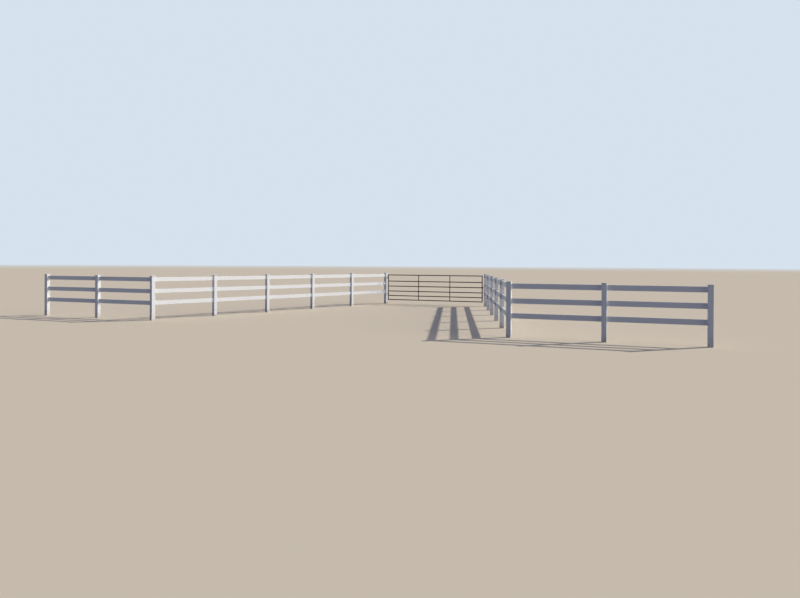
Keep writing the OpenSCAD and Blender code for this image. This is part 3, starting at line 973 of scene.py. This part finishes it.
# %% Bead
BEAD_R = 2.6 * MM
RIPPLE = 3.2 * MM
RIPPLE_DEPTH = 0.12


def bead(path, side, radius=BEAD_R, ends="fans"):
    """A weld bead: radius * (1 + depth * |sin(pi * length / ripple)|). An open one is drawn in to a seventh
    at its ends, by the root of 1 - s ** 8, where s runs from -1 to 1 along it."""
    step = np.linalg.norm(np.diff(path, axis=0), axis=1)
    run = np.concatenate([[0.0], np.cumsum(step)])
    ripple = 1 + RIPPLE_DEPTH * np.abs(np.sin(np.pi * run / RIPPLE))
    taper = 1.0 if ends == "loop" else np.sqrt(np.clip(1 - (2 * run / run[-1] - 1) ** 8, 0.02, 1))
    return swept(path, side, radius * ripple * taper, around=8, ends=ends)


print("a bead is", round(2 * BEAD_R / MM, 1), "mm wide with a ripple each", round(RIPPLE / MM, 1), "mm")

# %% [markdown]
# ### Rings where the bars meet the stiles
# Two round tubes of one size meet along a curve that a flat ring would miss,
# so the bead follows the curve itself: round the bar by the angle, and as far
# from the stile's axis as the stile's own surface is there.

# %% Ring beads
GATE_Y = middle("hinge_stile")[1]
BARS = ["gate_bottom_bar", "gate_bar_2", "gate_bar_3", "gate_bar_4", "gate_bar_5", "gate_top_bar"]
BAR_HEIGHTS = [middle(bar)[2] for bar in BARS]
STILES = {"hinge_stile": 1.0, "latch_stile": -1.0}
BEDDING = 0.6 * MM
ROUNDING = 0.02


def ring_bead(stile_x, bar_z, way):
    """The bead between a bar and a stile of the same radius R: a point at angle a round the bar lies
    R|cos a| from the stile's axis. The root of (cos a) ** 2 + rounding rounds the point where the two
    branches meet, and bedding sinks the bead into the stile."""
    angle = full_circle(200)
    reach = (TUBE_R - BEDDING) * np.sqrt(np.cos(angle) ** 2 + ROUNDING)
    radial = np.stack([np.zeros_like(angle), np.sin(angle), np.cos(angle)], axis=1)
    path = np.array([stile_x, GATE_Y, bar_z]) + TUBE_R * radial + (way * reach)[:, None] * SIDEWAYS
    return bead(path, radial, ends="loop")


ring_beads = [ring_bead(middle(stile)[0], z, way) for stile, way in STILES.items() for z in BAR_HEIGHTS]
print("bar ends welded", len(ring_beads))

# %% [markdown]
# ### Tacks on the uprights
# An upright is a folded channel, notched for the bars. It carries little, so
# each flange has only a short tack above and below the bar, at the back. A
# flattened ball would pass for a tack from far off, but a real one runs round
# the bar, so it is an arc of the same bead.

# %% Tacks
TACK_FROM, TACK_TO = 30.0, 70.0
TACK_R = 2.1 * MM
TACK_STAND = 0.3 * MM
FLANGE_STAND = 0.4 * MM


def tack(flange_x, bar_z, up):
    """A tack in the notch of a flange: an arc round the bar, from TACK_FROM to TACK_TO degrees above or
    below its back."""
    angle = np.radians(np.linspace(TACK_FROM, TACK_TO, 26))
    radial = np.stack([np.zeros_like(angle), np.cos(angle), up * np.sin(angle)], axis=1)
    path = np.array([flange_x, GATE_Y, bar_z]) + (TUBE_R + TACK_STAND) * radial
    return bead(path, radial, TACK_R)


tacks = []
for upright in ("left_upright", "right_upright"):
    low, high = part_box(upright)
    for flange_x in (low.x - FLANGE_STAND, high.x + FLANGE_STAND):
        tacks += [tack(flange_x, z, up) for z in BAR_HEIGHTS for up in (1.0, -1.0)]
print("tacks", len(tacks))

# %% [markdown]
# ### Straight beads
# The barrels' webs and the chain plate are flat plates on a round stile, each
# held by two beads. The line of a bead could be traced from a cut between the
# two meshes, but a plate's face meets a tube along a straight upright line,
# and the tube's circle gives its place.

# %% Straight beads
WEB_HALF = 6.0 * MM
PLATE_HALF = span("chain_plate")[1] / 2
SEAM_POINTS = 60
SEAM_MARGIN = 2 * MM


def seam(stile, node, half_plate, way):
    """Two upright beads along a plate on a stile, where the plate's faces meet the tube: the tube lies
    sqrt(R^2 - half_plate^2) from the stile's axis there."""
    low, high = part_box(node)
    x = middle(stile)[0] + way * math.sqrt(TUBE_R**2 - half_plate**2)
    level = np.linspace(low.z + SEAM_MARGIN, high.z - SEAM_MARGIN, SEAM_POINTS)[:, None] * UP
    faces = (np.array([x, GATE_Y + s * half_plate, 0.0]) for s in (-1.0, 1.0))
    return [bead(face + level, SIDEWAYS) for face in faces]


seams = seam("latch_stile", "chain_plate", PLATE_HALF, 1.0)
for place in HOOKS:
    seams += seam("hinge_stile", f"{place}_hinge_barrel", WEB_HALF, -1.0)
make_piece("gate_welds", ring_beads + tacks + seams, WELD_ENAMEL, "gate")

# %% [markdown]
# ## Lamps
# The object stands in a plain studio with one low key lamp from behind on the
# right, a broad soft fill from the right, and a weak one from behind on the
# left. Area lamps would be uneven over 22 m of fence, so all three are suns,
# whose rays are parallel: the key is narrow, which draws the shadows of the
# rails, and the others are wide, which draws none.

# %% Lamps
KEY_FROM = (0.635, 0.571, 0.521)
FILL_FROM = (0.95, -0.08, 0.30)
BACK_FROM = (-0.76, 0.58, 0.28)


def sun(name, towards, strength, softness, colour):
    """A lamp so far away that its rays are parallel. softness is the angle that it spans, in degrees. A
    lamp shines along its own -Z, so its Z axis points the way that the light comes from."""
    lamp = bpy.data.lights.new(name, "SUN")
    lamp.energy = strength
    lamp.angle = math.radians(softness)
    lamp.color = srgb(colour)[:3]
    holder = bpy.data.objects.new(name, lamp)
    bpy.context.scene.collection.objects.link(holder)
    back = unit(np.array(towards, float))
    side = unit(np.cross(UP, back))
    holder.matrix_world = Matrix(np.stack([side, np.cross(back, side), back], axis=1).tolist()).to_4x4()
    return lamp


lamps = [
    sun("key", KEY_FROM, strength=2.66, softness=1.2, colour="#FFF7EC"),
    sun("fill", FILL_FROM, strength=1.25, softness=40.0, colour="#FFFDF8"),
    sun("back", BACK_FROM, strength=0.22, softness=40.0, colour="#E4E9F8"),
]
print("lamps", {lamp.name: round(lamp.energy, 2) for lamp in lamps})

# %% [markdown]
# ## Light of the studio
# The pale backdrop is what the eye and the mirrors see. As a light it would
# fill the shadows too much, so the light that it sends is darker and bluer.
# A Light Path node tells the two kinds of ray apart, and no lamp has to be
# turned up to whiten the background.

# %% Studio
BACKDROP = "#D6E2ED"
BACKDROP_LIGHT = "#586081"
SEEN_RAYS = ("Is Camera Ray", "Is Glossy Ray", "Is Transmission Ray")


def seen(tree):
    """1 for rays that the eye sees directly, in a mirror or through glass, and 0 for those that carry light
    on: the highest of the three flags."""
    path = add(tree, "ShaderNodeLightPath")
    highest = path.outputs[SEEN_RAYS[0]]
    for ray in SEEN_RAYS[1:]:
        links = {0: highest, 1: path.outputs[ray]}
        highest = add(tree, "ShaderNodeMath", links=links, operation="MAXIMUM").outputs[0]
    return highest


world = bpy.data.worlds.new("studio")
bpy.context.scene.world = world
tree = new_tree(world)
tones = {UNDER: srgb(BACKDROP_LIGHT), OVER: srgb(BACKDROP)}
tone = add(tree, "ShaderNodeMix", tones, {FACTOR: seen(tree)}, data_type="RGBA")
light = add(tree, "ShaderNodeBackground", {"Strength": 1.0}, {"Color": tone.outputs[MIXED]})
add(tree, "ShaderNodeOutputWorld", links={"Surface": light.outputs[0]})
print("backdrop", BACKDROP, "lights as", BACKDROP_LIGHT)

# %% [markdown]
# ## Floor
# The floor is pale and plain, and runs out to the backdrop. A floor that ends
# in view would draw a hard edge behind the fence, so far out it takes on the
# backdrop's colour. It shows its own colour to the eye but bounces a cooler,
# darker light, so that white faces turned away from the key stay blue-grey.

# %% Floor material
FLOOR_SEEN = "#EBE0C8"
FLOOR_BOUNCE = "#757679"
FADE_FROM, FADE_TO = 120.0, 500.0


def floor_material():
    """Matt studio floor: pale sand to the eye, a darker neutral to the light that it passes on, and the
    backdrop's colour far out, by a smooth step over the distance from the origin."""
    material = bpy.data.materials.new("matt_floor")
    tree = new_tree(material)
    at = add(tree, "ShaderNodeTexCoord").outputs["Object"]
    away = add(tree, "ShaderNodeVectorMath", links={0: at}, operation="LENGTH").outputs["Value"]
    eye = seen(tree)
    tones = {UNDER: srgb(FLOOR_BOUNCE), OVER: srgb(FLOOR_SEEN)}
    tone = add(tree, "ShaderNodeMix", tones, {FACTOR: eye}, data_type="RGBA")
    matt = add(tree, "ShaderNodeBsdfDiffuse", links={"Color": tone.outputs[MIXED]})
    haze = add(tree, "ShaderNodeEmission", {"Color": srgb(BACKDROP)})
    reach = {"From Min": FADE_FROM, "From Max": FADE_TO}
    far = add(tree, "ShaderNodeMapRange", reach, {"Value": away}, interpolation_type="SMOOTHSTEP")
    share = add(tree, "ShaderNodeMath", links={0: far.outputs[0], 1: eye}, operation="MULTIPLY")
    shaders = {0: share.outputs[0], 1: matt.outputs[0], 2: haze.outputs[0]}
    mixed = add(tree, "ShaderNodeMixShader", links=shaders)
    add(tree, "ShaderNodeOutputMaterial", links={"Surface": mixed.outputs[0]})
    return material


FLOOR_MATT = floor_material()
print("floor fades from", FADE_FROM, "to", FADE_TO, "m")

# %% Floor
FLOOR_R = 700.0
RIM_POINTS = 96


def floor():
    """A disc: its rim points lie FLOOR_R from the origin at even angles."""
    angle = full_circle(RIM_POINTS)
    rim = np.stack([np.cos(angle), np.sin(angle), np.zeros(RIM_POINTS)], axis=1) * FLOOR_R
    mesh = bpy.data.meshes.new("floor")
    mesh.from_pydata(rim.tolist(), [], [list(range(RIM_POINTS))])
    mesh.materials.append(FLOOR_MATT)
    disc = bpy.data.objects.new("floor", mesh)
    bpy.context.scene.collection.objects.link(disc)


floor()
bpy.context.scene.view_settings.view_transform = "Standard"
print("floor", FLOOR_R, "m out")
